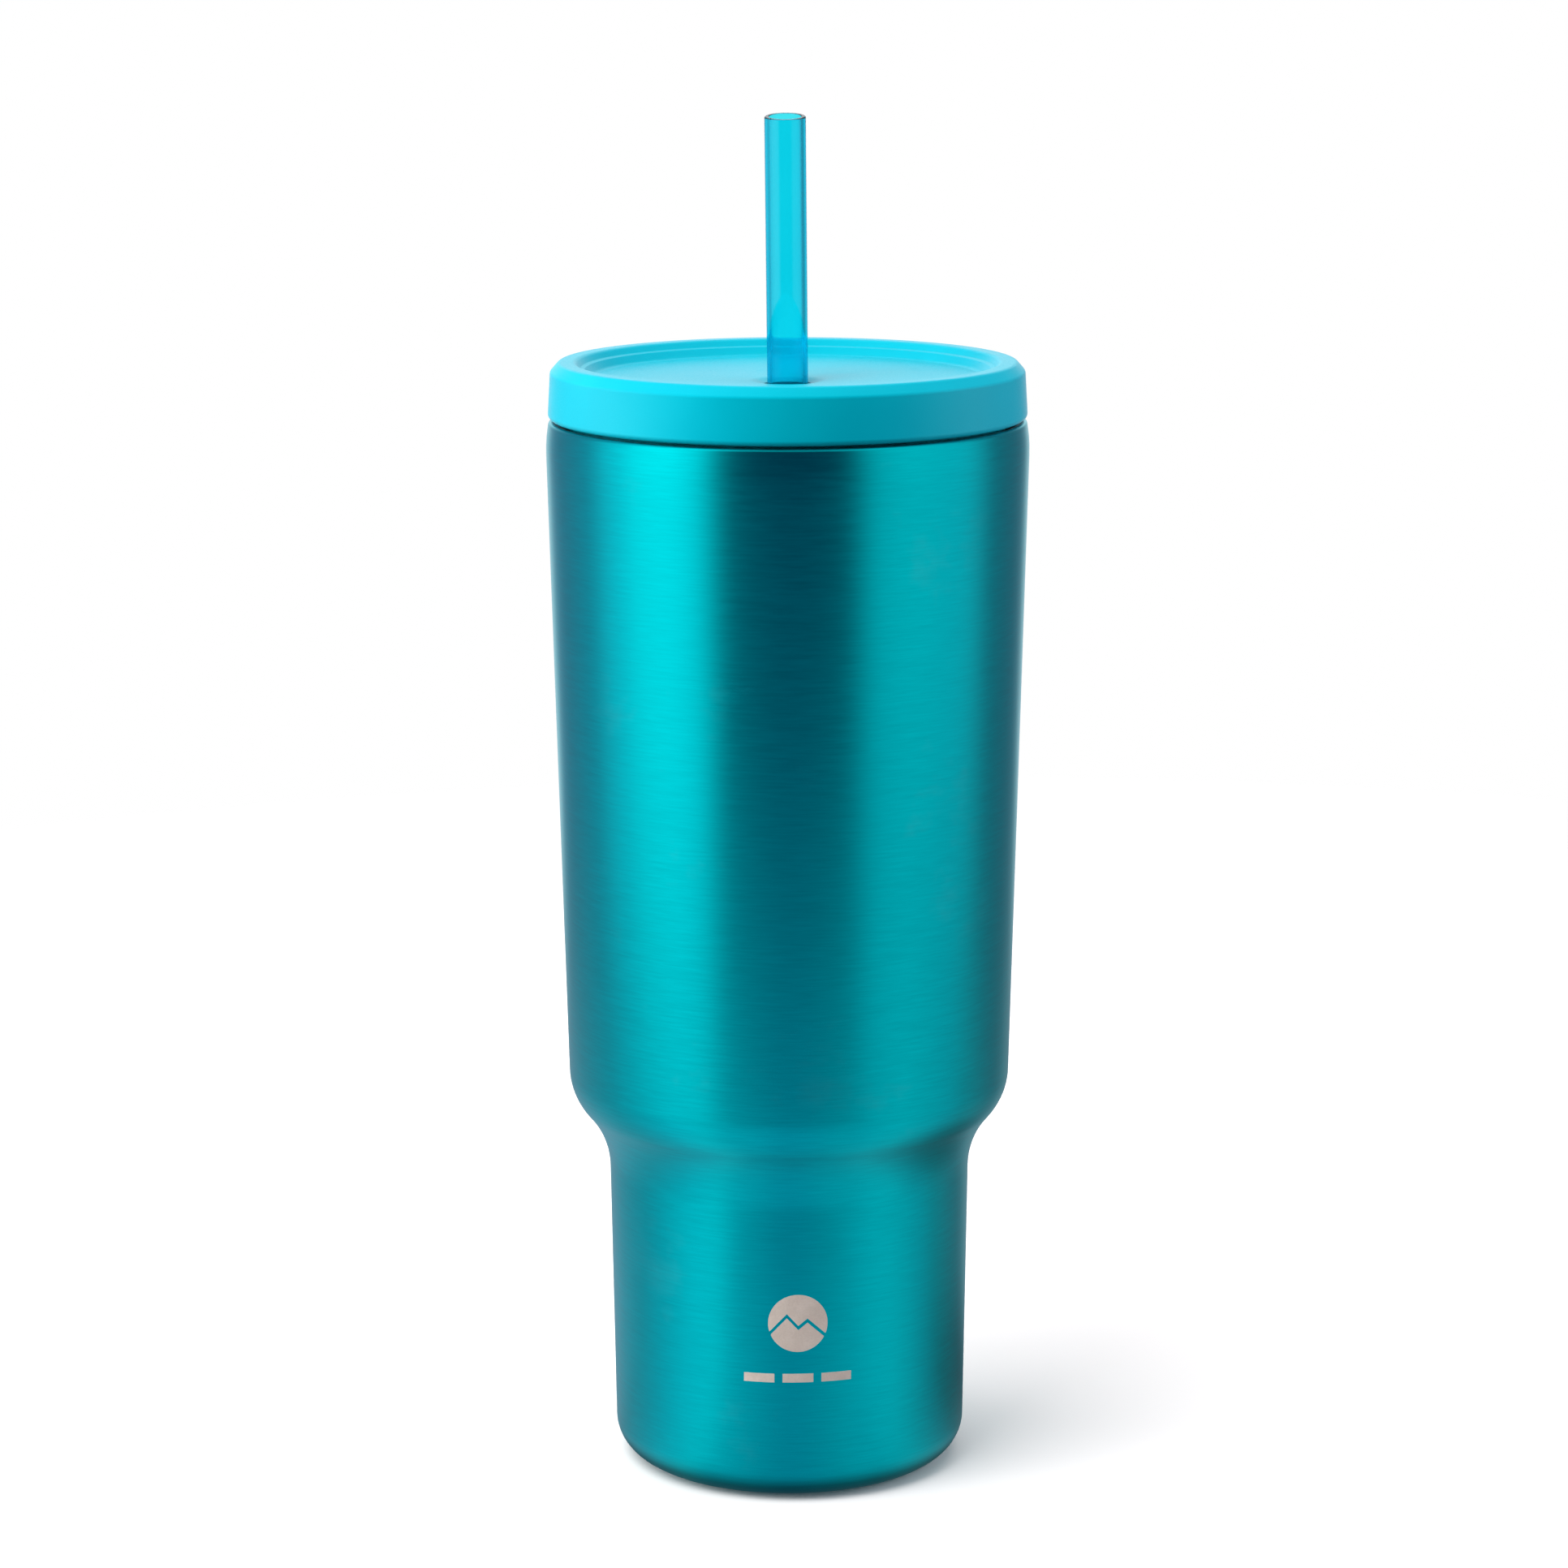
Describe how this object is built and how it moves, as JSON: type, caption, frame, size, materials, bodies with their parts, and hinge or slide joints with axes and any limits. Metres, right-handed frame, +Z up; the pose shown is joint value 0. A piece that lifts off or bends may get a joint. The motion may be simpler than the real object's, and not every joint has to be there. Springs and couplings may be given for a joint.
{
  "type": "insulated straw tumbler",
  "caption": "Tall stepped vacuum-insulated steel tumbler with a narrow cup-holder base, a push-in dished lid and a loose clear straw that slides out through the lid.",
  "frame": {"origin": "centre of the foot ring, on the surface the tumbler stands on", "axes": "+Z up along the tumbler's axis; the straw's top leans towards -Y (the side a viewer faces) and very slightly towards -X"},
  "size_m": [0.1, 0.1, 0.286],
  "materials": {
    "teal_steel": "horizontally brushed stainless steel under a translucent teal lacquer, semi-gloss",
    "bare_steel": "satin stainless steel",
    "copper": "bright rolled copper",
    "solder": "dull solder",
    "getter": "sintered, matt",
    "lid_plastic": "moulded polypropylene, semi-gloss cyan",
    "plug_plastic": "moulded polypropylene, satin cyan",
    "silicone": "translucent white silicone, matt",
    "straw_plastic": "clear tinted plastic, glossy"
  },
  "bodies": {
    "tumbler": {"outer_shell": "teal_steel", "outer_base": "teal_steel", "vacuum_seal_bead": "solder", "base_cover": "bare_steel", "getter_pill": "getter", "getter_clip": "bare_steel", "inner_liner": "bare_steel", "liner_base": "bare_steel", "copper_foil": "copper"},
    "lid": {"lid_shell": "lid_plastic", "lid_insert": "plug_plastic", "lid_seal": "silicone"},
    "straw": {"straw": "straw_plastic"}
  },
  "joints": [
    {"name": "lid_lift", "type": "slide", "parent": "tumbler", "child": "lid", "axis": [0, 0, 1], "range_m": [0, 0.225]},
    {"name": "straw_slide", "type": "slide", "parent": "lid", "child": "straw", "axis": [-0.0078, -0.1234, 0.9923], "range_m": [0, 0.235]}
  ]
}
